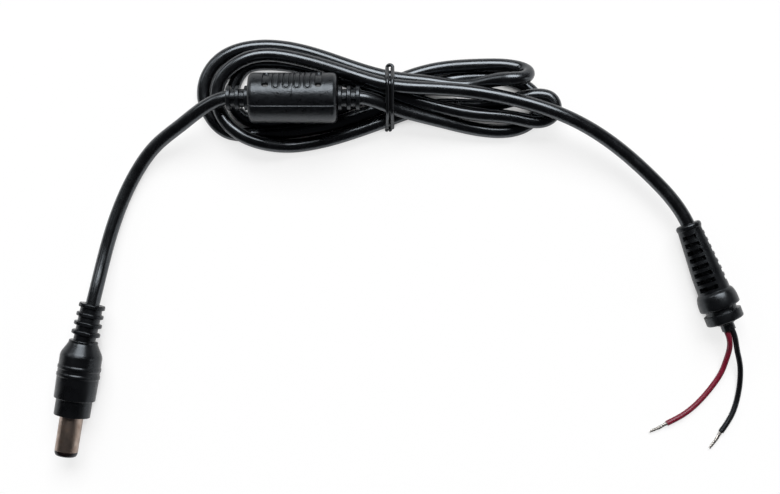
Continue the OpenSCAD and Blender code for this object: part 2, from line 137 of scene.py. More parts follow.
# ---------------------------------------------------------------- the cord
# One metre of round two-core power cord in a smooth black PVC jacket, 4.4 mm thick. It
# leaves the plug, runs through the ferrite, lies in three turns each side of a tie, and
# ends inside the strain relief boot. Its route is the source's, with three of the loops
# moved by up to 1.2 mm.
CORD_D, CORD_RING_STEP = 0.0044, 0.0009
from_plug = [
    (-0.00012, 0.00863, 0.0069), (0.00103, 0.02499, 0.0069), (0.0013, 0.0295, 0.0064),
    (0.0015, 0.0365, 0.0048), (0.0025, 0.049, 0.0032), (0.0075, 0.069, 0.003),
    (0.0125, 0.078, 0.0048), (0.0205, 0.086, 0.0086), (0.0295, 0.094, 0.0122),
]
through_ferrite = [
    (0.03347, 0.09619, 0.0128), (0.07653, 0.10301, 0.0128),
]
right_loop_1 = [
    (0.0855, 0.102, 0.0099), (0.102, 0.1006, 0.0054), (0.1185, 0.1002, 0.0023),
    (0.127, 0.1020, 0.0022), (0.132, 0.106, 0.0022), (0.133, 0.1115, 0.0022),
    (0.1295, 0.1155, 0.0022), (0.1225, 0.1175, 0.0022), (0.1135, 0.117, 0.0022),
    (0.1005, 0.113, 0.0024), (0.0855, 0.104, 0.0035),
]
left_loop_1 = [
    (0.0715, 0.096, 0.0025), (0.0535, 0.0895, 0.0022), (0.0425, 0.087, 0.0022),
    (0.0345, 0.0865, 0.0022), (0.028, 0.091, 0.0022), (0.025, 0.097, 0.0022),
    (0.0255, 0.1045, 0.0022), (0.0295, 0.1105, 0.0022), (0.0365, 0.1145, 0.0022),
    (0.0495, 0.1165, 0.0026), (0.0675, 0.114, 0.0054), (0.0845, 0.1115, 0.008),
]
right_loop_2 = [
    (0.097, 0.112, 0.0079), (0.11, 0.113, 0.0078), (0.1175, 0.1155, 0.0112),
    (0.123, 0.1165, 0.0132), (0.126, 0.1175, 0.0121), (0.1275, 0.1195, 0.0094),
    (0.126, 0.121, 0.0067), (0.123, 0.1215, 0.0056), (0.113, 0.1205, 0.0048),
    (0.098, 0.117, 0.0034), (0.0845, 0.11, 0.0035),
]
left_loop_2 = [
    (0.071, 0.101, 0.0025), (0.053, 0.0938, 0.0022), (0.0435, 0.0914, 0.0022),
    (0.0379, 0.0926, 0.0022), (0.0345, 0.0978, 0.0022), (0.0345, 0.1031, 0.0022),
    (0.037, 0.108, 0.0022), (0.0435, 0.1105, 0.0022), (0.0545, 0.111, 0.0028),
    (0.07, 0.1085, 0.0061), (0.085, 0.1065, 0.0082),
]
right_loop_3 = [
    (0.098, 0.1050, 0.0074), (0.1145, 0.1044, 0.0069), (0.126, 0.1051, 0.0069),
    (0.1362, 0.1063, 0.0069), (0.1379, 0.1083, 0.0069), (0.1379, 0.1110, 0.0069),
    (0.1362, 0.1131, 0.0069), (0.1337, 0.1136, 0.0069), (0.1245, 0.1109, 0.0058),
    (0.115, 0.108, 0.0024), (0.1, 0.1055, 0.0026), (0.0865, 0.099, 0.0035),
]
left_loop_3 = [
    (0.0725, 0.0915, 0.0027), (0.0545, 0.085, 0.0028), (0.0465, 0.0845, 0.0056),
    (0.0395, 0.086, 0.0068), (0.034, 0.0895, 0.0065), (0.03, 0.096, 0.0057), (0.03, 0.102, 0.0058),
    (0.033, 0.107, 0.0063), (0.0395, 0.1115, 0.0065), (0.0525, 0.113, 0.0069),
    (0.07, 0.1105, 0.01), (0.085, 0.1085, 0.0121),
]
to_boot = [
    (0.0975, 0.1095, 0.0122), (0.11, 0.1105, 0.0121), (0.126, 0.11, 0.012),
    (0.1395, 0.108, 0.0116), (0.156, 0.1025, 0.009), (0.1715, 0.0935, 0.0072),
    (0.18579, 0.08062, 0.00655), (0.20468, 0.04856, 0.00655),
]


def straight(a, b, n):
    """n points on the straight line from a to b, both ends included."""
    return (np.array(a) + np.linspace(0, 1, n)[:, None] * (np.array(b) - np.array(a))).tolist()


def smooth_line(points, step):
    """A cubic spline through the points, its parameter t the chord length, with free ends.
    The second derivatives m at the points solve the usual three-band system. With a the way
    still to go and b the way gone in a span of length h, a point of the span is the sum of
    m0 a cubed over 6 h, m1 b cubed over 6 h, (p0 over h less m0 h over 6) times a, and
    (p1 over h less m1 h over 6) times b. The line is then cut into even steps of its own
    length."""
    p = np.array(points, float)
    h = np.linalg.norm(np.diff(p, axis=0), axis=1)[:, None]
    t = np.concatenate([[0.0], np.cumsum(h)])
    n = len(p)
    band, right = np.eye(n), np.zeros((n, 3))
    i = np.arange(1, n - 1)
    band[i, i - 1], band[i, i], band[i, i + 1] = h[:-1, 0], 2 * (h[:-1] + h[1:])[:, 0], h[1:, 0]
    right[1:-1] = 6 * (np.diff(p[1:], axis=0) / h[1:] - np.diff(p[:-1], axis=0) / h[:-1])
    m = np.linalg.solve(band, right)
    u = np.linspace(0, t[-1], int(t[-1] / step) * 6)
    k = np.clip(np.searchsorted(t, u, side="right") - 1, 0, n - 2)
    a, b, d = (t[k + 1] - u)[:, None], (u - t[k])[:, None], h[k]
    line = (m[k] * a ** 3 + m[k + 1] * b ** 3) / (6 * d) \
        + (p[k] / d - m[k] * d / 6) * a + (p[k + 1] / d - m[k + 1] * d / 6) * b
    run = np.concatenate([[0.0], np.cumsum(np.linalg.norm(np.diff(line, axis=0), axis=1))])
    at = np.linspace(0, run[-1], max(int(run[-1] / step), 2) + 1)
    return np.stack([np.interp(at, run, line[:, c]) for c in range(3)], axis=1)


def carry(line, radius, turn):
    """A round surface carried along a line that is nowhere upright: at each point of the line
    the section stands square to it, with turn 0 to its level left-hand side and turn
    90 degrees at its top, at the given radius (one value, or one for each ring and turn)."""
    ahead = np.gradient(line, axis=0)
    ahead /= np.linalg.norm(ahead, axis=1)[:, None]
    side = np.cross([0.0, 0.0, 1.0], ahead)
    side /= np.linalg.norm(side, axis=1)[:, None]
    top = np.cross(ahead, side)
    radius = np.broadcast_to(np.asarray(radius, float), (len(line), len(turn)))[..., None]
    return line[:, None] + radius * (np.cos(turn)[None, :, None] * side[:, None]
                                     + np.sin(turn)[None, :, None] * top[:, None])


def skin(name, grid, finish, ends="closed", sharp=40, extra=()):
    """Puts one or more grids of points (rings, points round a ring, xyz) into one mesh. Each
    ring closes on itself. The first and last ring are closed with a fan to their middle, or
    joined to each other where ends is "ring". Its map has the turn across and the metres
    along, and faces point out where the rings turn left round the way they advance. Edges
    sharper than that many degrees stay crisp."""
    points, quads, fans, uv_quads, uv_fans, base = [], [], [], [], [], 0
    for g in [grid, *extra]:
        m, n = g.shape[:2]
        run = np.concatenate([[0.0], np.cumsum(np.linalg.norm(
            np.diff(g.mean(axis=1), axis=0), axis=1))])
        rows = m if ends == "ring" else m - 1
        i, j = np.meshgrid(np.arange(rows), np.arange(n), indexing="ij")
        i2, j2 = (i + 1) % m, (j + 1) % n
        quads.append(base + np.stack([i * n + j, i * n + j2, i2 * n + j2, i2 * n + j],
                                     axis=-1).reshape(-1, 4))
        across = np.stack([j, j + 1, j + 1, j], axis=-1) / n
        along = run[np.stack([i, i, i2, i2], axis=-1)]
        uv_quads.append(np.stack([across, along], axis=-1).reshape(-1, 2))
        points.append(g.reshape(-1, 3))
        if ends != "ring":
            points.append(np.stack([g[0].mean(axis=0), g[-1].mean(axis=0)]))
            k, k2, c = np.arange(n), (np.arange(n) + 1) % n, base + m * n
            fans.append(np.stack([np.full(n, c), base + k2, base + k], axis=-1))
            last = base + (m - 1) * n
            fans.append(np.stack([np.full(n, c + 1), last + k, last + k2], axis=-1))
            uv_fans.append(np.tile([0.5, 0.0], (3 * n, 1)))
            uv_fans.append(np.tile([0.5, run[-1]], (3 * n, 1)))
        base += m * n + (0 if ends == "ring" else 2)
    points, quads = np.concatenate(points), np.concatenate(quads)
    fans = np.concatenate(fans) if fans else np.zeros((0, 3), int)
    mesh = bpy.data.meshes.new(name)
    mesh.vertices.add(len(points))
    mesh.vertices.foreach_set("co", points.ravel())
    loops = np.concatenate([quads.ravel(), fans.ravel()])
    mesh.loops.add(len(loops))
    mesh.loops.foreach_set("vertex_index", loops)
    sizes = np.concatenate([np.full(len(quads), 4), np.full(len(fans), 3)])
    mesh.polygons.add(len(sizes))
    mesh.polygons.foreach_set("loop_start", np.concatenate([[0], np.cumsum(sizes)[:-1]]))
    mesh.update(calc_edges=True)
    uv = mesh.uv_layers.new(name="surface")
    uv.data.foreach_set("uv", np.concatenate(uv_quads + uv_fans).ravel())
    mesh.validate()
    mesh.shade_smooth()
    mesh.set_sharp_from_angle(angle=math.radians(sharp))
    piece = bpy.data.objects.new(name, mesh)
    bpy.context.scene.collection.objects.link(piece)
    mesh.materials.append(finish)
    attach(piece, "root")
    return piece


def cloud(tree, scale, detail, stretch=None):
    """Noise at a scale per metre in object coordinates, drawn out by stretch along x, y, z."""
    where = node(tree, "ShaderNodeTexCoord").outputs["Object"]
    if stretch:
        where = node(tree, "ShaderNodeMapping", {"Vector": where, "Scale": stretch}).outputs[0]
    return node(tree, "ShaderNodeTexNoise", {"Vector": where, "Scale": scale, "Detail": detail,
                                             "Roughness": 0.55}).outputs["Fac"]


def spread(tree, fac, low, high, floor=0.3, top=0.7):
    """Maps the middle part of a noise to a range of values."""
    return node(tree, "ShaderNodeMapRange", {"Value": fac, "From Min": floor, "From Max": top,
                                             "To Min": low, "To Max": high}).outputs[0]


def tint(tree, fac, one, two):
    """A colour that goes from one to two as the factor goes from 0 to 1."""
    made = node(tree, "ShaderNodeMix", {"Factor": fac}, data_type="RGBA")
    made.inputs["A"].default_value, made.inputs["B"].default_value = (*one, 1), (*two, 1)
    return made.outputs["Result"]


def blank(name):
    """A new material with its node tree and its main shader."""
    made = bpy.data.materials.new(name)
    made.use_nodes = True
    return made, made.node_tree, made.node_tree.nodes["Principled BSDF"]


def plastic(name, deep, worn, rough, grain, grain_depth, swell=90, swell_depth=0.0, level=0.5,
            patch=220):
    """Moulded or extruded plastic: two near colours and two roughnesses in soft patches, a fine
    moulded grain, and a slow swell of the surface, both as bumps in metres. Its gloss is a
    little cool."""
    made, tree, shader = blank(name)
    patches = cloud(tree, patch, 4.0)
    fine = cloud(tree, grain, 2.0)
    tree.links.new(tint(tree, spread(tree, patches, 0, 1), deep, worn),
                   shader.inputs["Base Color"])
    tree.links.new(spread(tree, patches, *rough), shader.inputs["Roughness"])
    shader.inputs["Specular IOR Level"].default_value = level
    shader.inputs["Specular Tint"].default_value = (0.84, 0.92, 1.0, 1)
    bump = node(tree, "ShaderNodeBump", {"Strength": 1.0, "Distance": grain_depth,
                                         "Height": fine})
    if swell_depth:
        bump = node(tree, "ShaderNodeBump", {"Strength": 1.0, "Distance": swell_depth,
                                             "Height": cloud(tree, swell, 1.0),
                                             "Normal": bump.outputs[0]})
    tree.links.new(bump.outputs[0], shader.inputs["Normal"])
    return made


cord_jacket = plastic("cord_jacket", (0.0012, 0.0012, 0.0014), (0.0026, 0.0026, 0.003),
                      (0.20, 0.30), 2600, 0.000004, 70, 0.00012, level=0.85)
inside_plug = straight(from_plug[0], from_plug[1], 4)
inside_ferrite = straight(*through_ferrite, 6)
inside_boot = straight(*to_boot[-2:], 5)
cord_points = inside_plug + from_plug[2:] + inside_ferrite + right_loop_1 + left_loop_1 \
    + right_loop_2 + left_loop_2 + right_loop_3 + left_loop_3 + to_boot[:-2] + inside_boot
cord_line = smooth_line(cord_points, CORD_RING_STEP)
cord_line[:, 2] = np.maximum(cord_line[:, 2], CORD_D / 2 + 0.00001)
round_turn = np.linspace(0, 2 * math.pi, 28, endpoint=False)
cord = skin("power_cord", carry(cord_line, CORD_D / 2, round_turn), cord_jacket)
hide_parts("cord")

# ---------------------------------------------------------------- the plug's moulding
# Soft black PVC moulded in one piece round the barrel and the cord: a collar, a grip with
# two raised bands, a domed shoulder, and a strain relief of four rings with flats top and
# bottom that leans a little to the cord's side.
AXIS_Z = 0.0069
face, body, shoulder, dome_end, pivot = -0.01178, -0.00638, 0.00752, 0.01262, 0.01032
BORE_R, FRONT_R, GRIP_R, BAND_R, NECK_R, CORD_HOLE_R = (
    0.00373, 0.00575, 0.00655, 0.0069, 0.0046, 0.0022)
# each band's middle, and the grip's radius on its two sides
BANDS = ((shoulder - 0.0062, 0.00668, 0.00668), (shoulder - 0.0037, 0.0067, 0.00668))


def eased(corners, radius, steps):
    """Each inner corner c of an outline gives way to a curve of that many points: the square
    of (1 - t) times a, plus 2 t (1 - t) times c, plus the square of t times b. Here a and b
    lie on the two sides, as far from c as the radius, or 0.45 of the shorter side."""
    p = np.array(corners, float)
    back, on = p[:-2] - p[1:-1], p[2:] - p[1:-1]
    lb, lo = np.linalg.norm(back, axis=1), np.linalg.norm(on, axis=1)
    r = np.minimum(np.broadcast_to(radius, lb.shape), 0.45 * np.minimum(lb, lo))
    a, b = p[1:-1] + back * (r / lb)[:, None], p[1:-1] + on * (r / lo)[:, None]
    t = np.linspace(0, 1, steps)[None, :, None]
    curve = (1 - t) ** 2 * a[:, None] + 2 * t * (1 - t) * p[1:-1][:, None] + t ** 2 * b[:, None]
    return np.concatenate([p[:1], curve.reshape(-1, 2), p[-1:]])


def turned(outline, base, along, radius=None, turn=None):
    """An outline of (distance along, radius) turned round a level axis through base, with
    turn 0 to its level left-hand side and turn 90 degrees at its top. A radius array (one
    value for each outline point and turn) takes the place of the outline's own."""
    turn = np.linspace(0, 2 * math.pi, 96, endpoint=False) if turn is None else turn
    along = np.array(along, float) / np.linalg.norm(along)
    side = np.cross([0.0, 0.0, 1.0], along)
    top = np.cross(along, side)
    r = outline[:, 1][:, None] * np.ones(turn.shape[-1]) if radius is None else radius
    turn = np.broadcast_to(turn, r.shape)[..., None]
    return np.array(base) + outline[:, 0][:, None, None] * along \
        + r[..., None] * (np.cos(turn) * side + np.sin(turn) * top)


band_walls = [point for mid, before_r, after_r in BANDS
              for point in ((mid - 0.0007, before_r), (mid - 0.0004, BAND_R),
                            (mid + 0.0004, BAND_R), (mid + 0.0007, after_r))]
outer_wall = [(face, BORE_R), (face, FRONT_R), (body, FRONT_R), (body, GRIP_R), *band_walls,
              (shoulder, 0.0067), (shoulder + 0.0010, 0.00645), (dome_end - 0.0014, 0.0049),
              (dome_end - 0.0008, NECK_R), (dome_end, NECK_R), (dome_end, CORD_HOLE_R)]
wall_ease = [0.0002, 0.0006, 0.0003, 0.0009, 0.0003, 0.0002, 0.0002, 0.0003, 0.0003, 0.0002,
             0.0002, 0.0003, 0.0007, 0.0009, 0.0004, 0.0003]
plug_wall = np.concatenate([eased(outer_wall, wall_ease, 6),
                            [(dome_end - 0.002, CORD_HOLE_R), (0.0, BORE_R)]])
plug_body = turned(plug_wall, (0, 0, AXIS_Z), (0, 1, 0))

LEAN = math.radians(4)
RELIEF_END, RING_W, PITCH, STEM_R = 0.0143, 0.0014, 0.002944, 0.0035
LAST_RING_R, RING_GROWS, RING_EDGE, FLAT_HALF, FLAT_EASE = (
    0.0042, 0.000125, 0.00034, 0.0040, 0.00025)
# the stem starts inside the dome; its rounds are close together where the rings stand
s = np.concatenate([np.linspace(0.001, 0.0036, 6), np.linspace(0.0037, RELIEF_END - 0.0001, 150),
                    [RELIEF_END - 0.00003, RELIEF_END, RELIEF_END]])
rings = np.full(len(s), STEM_R)
for i in range(4):
    mid, half = RELIEF_END - RING_W / 2 - i * PITCH, RING_W / 2
    edge = np.clip((half - np.abs(s - mid)) / RING_EDGE, 0, 1)
    rise = LAST_RING_R + RING_GROWS * i - STEM_R
    rings = np.maximum(rings, STEM_R + rise * np.sqrt(1 - (1 - edge) ** 2))
rings[-2:] = (0.0041, 0.0026)
turn = np.linspace(0, 2 * math.pi, 96, endpoint=False)
# each ring is trimmed to its flats by a soft minimum, r - e ln(1 + exp((r - flat) / e))
flat_r = FLAT_HALF / np.maximum(np.abs(np.sin(turn)), 0.2)
over = (rings[:, None] - flat_r) / FLAT_EASE
trimmed = rings[:, None] - FLAT_EASE * np.log1p(np.exp(over))
relief_r = np.where(rings[:, None] > STEM_R + 0.0002, np.maximum(trimmed, STEM_R),
                    rings[:, None])
plug_relief = turned(np.c_[s, rings], (0, pivot, AXIS_Z), (math.sin(LEAN), math.cos(LEAN), 0),
                     relief_r)
plug_black = plastic("plug_black", (0.0012, 0.0013, 0.0015), (0.0028, 0.003, 0.0036),
                     (0.24, 0.34), 5200, 0.000008, 160, 0.00006, level=0.45)
plug_shell = skin("plug_moulding", plug_body, plug_black, ends="ring")
plug_rings = skin("plug_relief", plug_relief, plug_black)
for piece in (plug_shell, plug_rings):
    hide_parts("plug_overmould")

# ---------------------------------------------------------------- the barrel and its nose
# A drawn brass sleeve with satin nickel plate, 7.4 mm across, pushed into the moulding. The
# dark insulator inside it ends in a rounded nose; a plated contact tube and a thin pin
# stand inside the bore.
TIP, RIM, SLEEVE_END, SLEEVE_IN_R, SLEEVE_R = -0.02488, -0.02328, -0.0038, 0.0033, 0.0037
NOSE_BACK, NOSE_BORE_R, NOSE_FLAT_R, NOSE_R = -0.00278, 0.00275, 0.00278, 0.00364


def metal(name, light, dark, stain, marks, marks_depth, floor=0.3, top=0.7, rough=(0.3, 0.5)):
    """Bare or plated metal: two near colours and two roughnesses by one cloud of stains, and
    fine tool marks as a bump in metres. The stain is (scale, detail) and the marks are
    (scale, detail, stretch)."""
    made, tree, shader = blank(name)
    shader.inputs["Metallic"].default_value = 1.0
    patches = cloud(tree, stain[0], stain[1])
    tree.links.new(tint(tree, spread(tree, patches, 0, 1, floor, top), light, dark),
                   shader.inputs["Base Color"])
    tree.links.new(spread(tree, patches, *rough), shader.inputs["Roughness"])
    height = cloud(tree, marks[0], marks[1], stretch=marks[2])
    bump = node(tree, "ShaderNodeBump", {"Strength": 1.0, "Distance": marks_depth,
                                         "Height": height})
    tree.links.new(bump.outputs[0], shader.inputs["Normal"])
    return made


def finish_node(name, material):
    """Gives a CAD node's own mesh a material in place of its plain one."""
    bpy.data.objects[name].material_slots[0].material = material


nickel = metal("satin_nickel", (0.42, 0.34, 0.29), (0.26, 0.19, 0.155), (420, 5.0),
               (1500, 3.0, (1.0, 0.04, 1.0)), 0.000006, 0.35, 0.75, (0.30, 0.42))
sleeve_loop = eased([(RIM, SLEEVE_IN_R), (RIM, SLEEVE_R), (SLEEVE_END, SLEEVE_R),
                     (SLEEVE_END, SLEEVE_IN_R)], 0.00015, 5)
sleeve = skin("barrel", turned(sleeve_loop, (0, 0, AXIS_Z), (0, 1, 0),
                               turn=np.linspace(0, 2 * math.pi, 128, endpoint=False)),
              nickel, ends="ring")
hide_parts("barrel_sleeve")

# the nose's front edge is a quarter of an oval, 1.4 mm long
arc = np.linspace(math.pi / 2, 0, 14)
nose_front = np.c_[TIP + 0.0014 * (1 - np.sin(arc)),
                   NOSE_FLAT_R + (NOSE_R - NOSE_FLAT_R) * np.cos(arc)]
nose_loop = np.concatenate([[(NOSE_BACK, NOSE_BORE_R), (TIP + 0.0003, NOSE_BORE_R)], nose_front,
                            [(RIM, NOSE_R), (RIM, SLEEVE_IN_R), (NOSE_BACK, SLEEVE_IN_R)]])
nose = skin("nose_insulator", turned(nose_loop, (0, 0, AXIS_Z), (0, 1, 0)),
            plastic("nose_plastic", (0.004, 0.0022, 0.002), (0.010, 0.0055, 0.0045), (0.24, 0.38),
                    3800, 0.000008, level=0.4), ends="ring")
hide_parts("tip_insulator")

gold = metal("contact_plate", (0.72, 0.58, 0.33), (0.52, 0.38, 0.19), (700, 4.0),
             (900, 2.0, (0.2, 6.0, 0.2)), 0.000003, rough=(0.18, 0.30))
finish_node("inner_contact", gold)
finish_node("centre_pin", gold)
finish_node("contact_insulator", plastic("disc_plastic", (0.012, 0.011, 0.010),
                                         (0.02, 0.018, 0.016), (0.35, 0.5), 3000, 0.00001))
finish_node("inner_mould", plastic("inner_mould_plastic", (0.55, 0.53, 0.47),
                                   (0.68, 0.66, 0.60), (0.4, 0.55), 1500, 0.00002))

# ---------------------------------------------------------------- the ferrite and its moulding
# A ferrite tube inside a black moulding with a satin skin. On its far upper side are four
# long oval grooves, two sunk ovals and two core-pin holes, then a short gate mark on top and
# the parting line; each end has three rings, joined by a web, where the cord goes through.
FERRITE_AT, FERRITE_TURN = (0.055, 0.0996, 0.0128), math.radians(9)
ferrite_dir = (math.cos(FERRITE_TURN), math.sin(FERRITE_TURN), 0.0)
FERRITE_R, FERRITE_HALF, END_ROUND, MARK_PITCH = 0.008, 0.014, 0.0016, 0.0033
MARK_W, MARK_L, MARK_DEPTH, LINE_DEPTH, GATE_DEPTH = 0.0023, 0.0094, 0.00045, 0.00020, 0.00012
OVAL_W, OVAL_L, OVAL_DEPTH, PIN_R, PIN_DEPTH = 0.0022, 0.0082, 0.0007, 0.0011, 0.0020
END_L, END_STEM_R, END_RING_W, END_RISE, WEB_R = 0.0072, 0.00285, 0.0015, 0.00105, 0.0035


def well(x, half, wall):
    """1 inside a band of that half width round 0, 0 outside, with walls of that width."""
    return np.clip((half + wall / 2 - np.abs(x)) / wall, 0, 1)


def oval_distance(x, y, w, l):
    """How far a point lies outside a straight-sided oval of width w (x) and length l (y)."""
    return np.hypot(x, np.maximum(np.abs(y) - (l - w) / 2, 0)) - w / 2


cap = np.linspace(0, math.pi / 2, 9)
straight_half = FERRITE_HALF - END_ROUND
middle_s = np.linspace(-straight_half, straight_half, 270)[1:-1]
body_s = np.concatenate([-FERRITE_HALF + END_ROUND * (1 - np.cos(cap)), middle_s,
                         straight_half + END_ROUND * np.sin(cap)])
body_r = np.concatenate([FERRITE_R - END_ROUND + END_ROUND * np.sin(cap),
                         np.full(len(middle_s), FERRITE_R),
                         FERRITE_R - END_ROUND + END_ROUND * np.cos(cap)])
# turn 90 degrees is the top; the grid is fine from 2 to 88 degrees, where the marks lie, less
# fine to 140 degrees, where the parting line runs, and coarse round the rest
marked = np.linspace(math.radians(2), math.radians(88), 150, endpoint=False)
parted = np.linspace(math.radians(88), math.radians(140), 52, endpoint=False)
rest = np.linspace(math.radians(140), math.radians(362), 52, endpoint=False)
grid_s, grid_turn = np.meshgrid(body_s, np.concatenate([marked, parted, rest]), indexing="ij")
skin_r = np.repeat(body_r[:, None], grid_turn.shape[1], axis=1)


def from_turn(degrees):
    """How far each grid point lies round the skin, in metres, past a turn of that many
    degrees, by the shorter way."""
    return np.angle(np.exp(1j * (grid_turn - math.radians(degrees)))) * FERRITE_R


for i in (-1.5, -0.5, 0.5, 1.5):
    d = oval_distance(grid_s - i * MARK_PITCH, from_turn(42), MARK_W, MARK_L)
    skin_r = skin_r - MARK_DEPTH * well(d + 0.0002, 0.00024, 0.00016)
for place in (-2.5 * MARK_PITCH, 2.5 * MARK_PITCH):
    d = oval_distance(grid_s - place, from_turn(38), OVAL_W, OVAL_L)
    skin_r = skin_r - OVAL_DEPTH * np.clip(-d / 0.00018, 0, 1)
    d = np.hypot(grid_s - place, from_turn(64)) - PIN_R
    skin_r = skin_r - PIN_DEPTH * np.clip(-d / 0.0002, 0, 1)
for degrees in (115, -65):
    skin_r = skin_r - LINE_DEPTH * well(from_turn(degrees), 0.00011, 0.00018)
gate = well(grid_s, 0.00006, 0.00016) * (np.abs(from_turn(92)) < 0.4 * FERRITE_R)
skin_r = skin_r - GATE_DEPTH * gate
ferrite_grid = turned(np.c_[body_s, body_r], FERRITE_AT, ferrite_dir, skin_r, grid_turn)


def end_rings(side):
    """Three rings on a stem beyond one end of the ferrite, each with its edges eased, and the
    gaps between them bridged at the top and bottom by a web."""
    s = np.linspace(0, END_L, 110)
    r = np.full(len(s), END_STEM_R)
    for i in range(3):
        mid = i * (END_L - END_RING_W) / 2 + END_RING_W / 2
        edge = np.clip((END_RING_W / 2 - np.abs(s - mid)) / 0.0003, 0, 1)
        r = np.maximum(r, END_STEM_R + END_RISE * np.sqrt(1 - (1 - edge) ** 2))
    s = np.concatenate([[-0.0003], s, [END_L + 0.00001]])
    r = np.concatenate([[0.0036], r, [0.00235]])
    turn = np.linspace(0, 2 * math.pi, 72, endpoint=False)
    web = well(np.cos(turn) * WEB_R, 0.0008, 0.0003)
    r = np.maximum(r[:, None], (WEB_R * web)[None, :])
    r[-1], r[-2] = 0.00235, np.minimum(r[-2], 0.0036)
    out = turned(np.c_[s, r[:, 0]], (0, 0, 0), (side, 0, 0), r, turn)
    spun = out @ np.array([[math.cos(FERRITE_TURN), math.sin(FERRITE_TURN), 0],
                           [-math.sin(FERRITE_TURN), math.cos(FERRITE_TURN), 0], [0, 0, 1]])
    return spun + np.array(FERRITE_AT) + side * FERRITE_HALF * np.array(ferrite_dir)


ferrite_black = plastic("ferrite_black", (0.0016, 0.0018, 0.0022), (0.006, 0.0066, 0.0078),
                        (0.26, 0.36), 1700, 0.00006, 240, 0.00008, level=0.5, patch=900)
ferrite = skin("ferrite_moulding_skin", ferrite_grid, ferrite_black, sharp=50,
               extra=[end_rings(1), end_rings(-1)])
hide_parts("ferrite_moulding")
finish_node("ferrite_core", plastic("ferrite_tube", (0.045, 0.043, 0.041), (0.085, 0.082, 0.08),
                                    (0.5, 0.7), 2400, 0.00003))

# ---------------------------------------------------------------- the tie
# A steel wire in a black coat, wrapped twice round the seven strands where the coil
# crosses itself, with a small eye at the far side and its two ends twisted together.
TIE_AT, TIE_TURN, TIE_R = np.array([0.085, 0.1055, 0.0]), math.radians(9), 0.00062
WRAP_HALF, WRAP_RINGS, WIRE_SIDES, LOOSE_R = 0.00078, 260, 18, TIE_R * 0.92
TWIST_R, TWIST_TURNS, EYE_R, EYE_Z = 0.00058, 1.1, 0.0009, 0.0082
UP = np.array([0.0, 0.0, 1.0])
tied = np.array([right_loop_1[0], right_loop_1[10], left_loop_1[11], right_loop_2[10],
                 left_loop_2[10], right_loop_3[11], left_loop_3[11]])
across = np.array([-math.sin(TIE_TURN), math.cos(TIE_TURN), 0.0])
onward = np.array([math.cos(TIE_TURN), math.sin(TIE_TURN), 0.0])
flat_tied = np.c_[(tied - TIE_AT) @ across, tied[:, 2]]


def round_the_hank(reach, n):
    """The tight loop round the strands, at a reach from their middles: at each angle the point
    of the strands furthest that way, plus the reach, then cut into even steps."""
    angle = np.linspace(0, 2 * math.pi, 1440, endpoint=False)
    way = np.c_[np.cos(angle), np.sin(angle)]
    loop = flat_tied[(way @ flat_tied.T).argmax(axis=1)] + reach * way
    loop = np.concatenate([loop, loop[:1]])
    run = np.concatenate([[0], np.cumsum(np.linalg.norm(np.diff(loop, axis=0), axis=1))])
    at = np.linspace(0, 1, n, endpoint=False) * run[-1]
    return np.stack([np.interp(at, run, loop[:, c]) for c in (0, 1)], axis=1)


def ring_tube(loop, radius, n, shift):
    """A round wire along a closed flat loop across the strands, moved along them by shift."""
    ahead = np.roll(loop, -1, axis=0) - np.roll(loop, 1, axis=0)
    ahead /= np.linalg.norm(ahead, axis=1)[:, None]
    out = np.c_[ahead[:, 1], -ahead[:, 0]]
    a = np.linspace(0, 2 * math.pi, n, endpoint=False)
    flat = loop[:, None] + radius * np.cos(a)[None, :, None] * out[:, None]
    shift = np.broadcast_to(shift, (len(loop),))[:, None]
    return TIE_AT + flat[..., :1] * across + flat[..., 1:] * UP \
        - (shift + radius * np.sin(a)[None, :])[..., None] * onward


wrap = round_the_hank(CORD_D / 2 + TIE_R + 0.00005, WRAP_RINGS)
wrap[:, 1] = np.maximum(wrap[:, 1], TIE_R)
wander = 0.00010 * np.sin(np.linspace(0, 2 * math.pi, WRAP_RINGS, endpoint=False) * 2 + 1.0)
near_side = flat_tied[:, 0].min() - CORD_D / 2 - 2 * TIE_R
far_side = flat_tied[:, 0].max() + CORD_D / 2 + 2 * TIE_R
# the eye is three quarters of a level ring that climbs 1.2 mm as it goes round
eye_t = np.linspace(-0.75 * math.pi, 0.75 * math.pi, 40)
eye_line = TIE_AT + (far_side - 0.0003 + EYE_R * np.cos(eye_t))[:, None] * across \
    + (EYE_R * np.sin(eye_t))[:, None] * onward \
    + (EYE_Z + np.linspace(-0.0006, 0.0006, 40))[:, None] * UP
# the two ends wind round one short spine that leans out from the near side
t = np.linspace(0, 1, 60)
spine = TIE_AT + (near_side + 0.0014 - 0.0015 * t)[:, None] * across \
    + (0.0004 - 0.0009 * t)[:, None] * onward + (0.0019 - 0.0004 * t)[:, None] * UP
tails = []
for start in (0.0, math.pi):
    wound = start + 2 * math.pi * TWIST_TURNS * t
    tails.append(spine + TWIST_R * (np.cos(wound)[:, None] * onward
                                    + np.sin(wound)[:, None] * UP))
tie_coat = plastic("tie_coat", (0.0015, 0.0015, 0.0017), (0.003, 0.003, 0.0034), (0.26, 0.38),
                   2600, 0.000006, level=0.6)
wraps = [ring_tube(wrap, TIE_R, WIRE_SIDES, way * (WRAP_HALF + wander)) for way in (1, -1)]
tie_turns = skin("tie_turns", wraps[0], tie_coat, ends="ring", extra=wraps[1:])
wire_turn = np.linspace(0, 2 * math.pi, WIRE_SIDES, endpoint=False)
loose_ends = [carry(line, LOOSE_R, wire_turn) for line in (*tails, eye_line)]
tie_ends = skin("tie_ends", loose_ends[0], tie_coat, extra=loose_ends[1:])
for piece in (tie_turns, tie_ends):
    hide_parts("cord_tie")

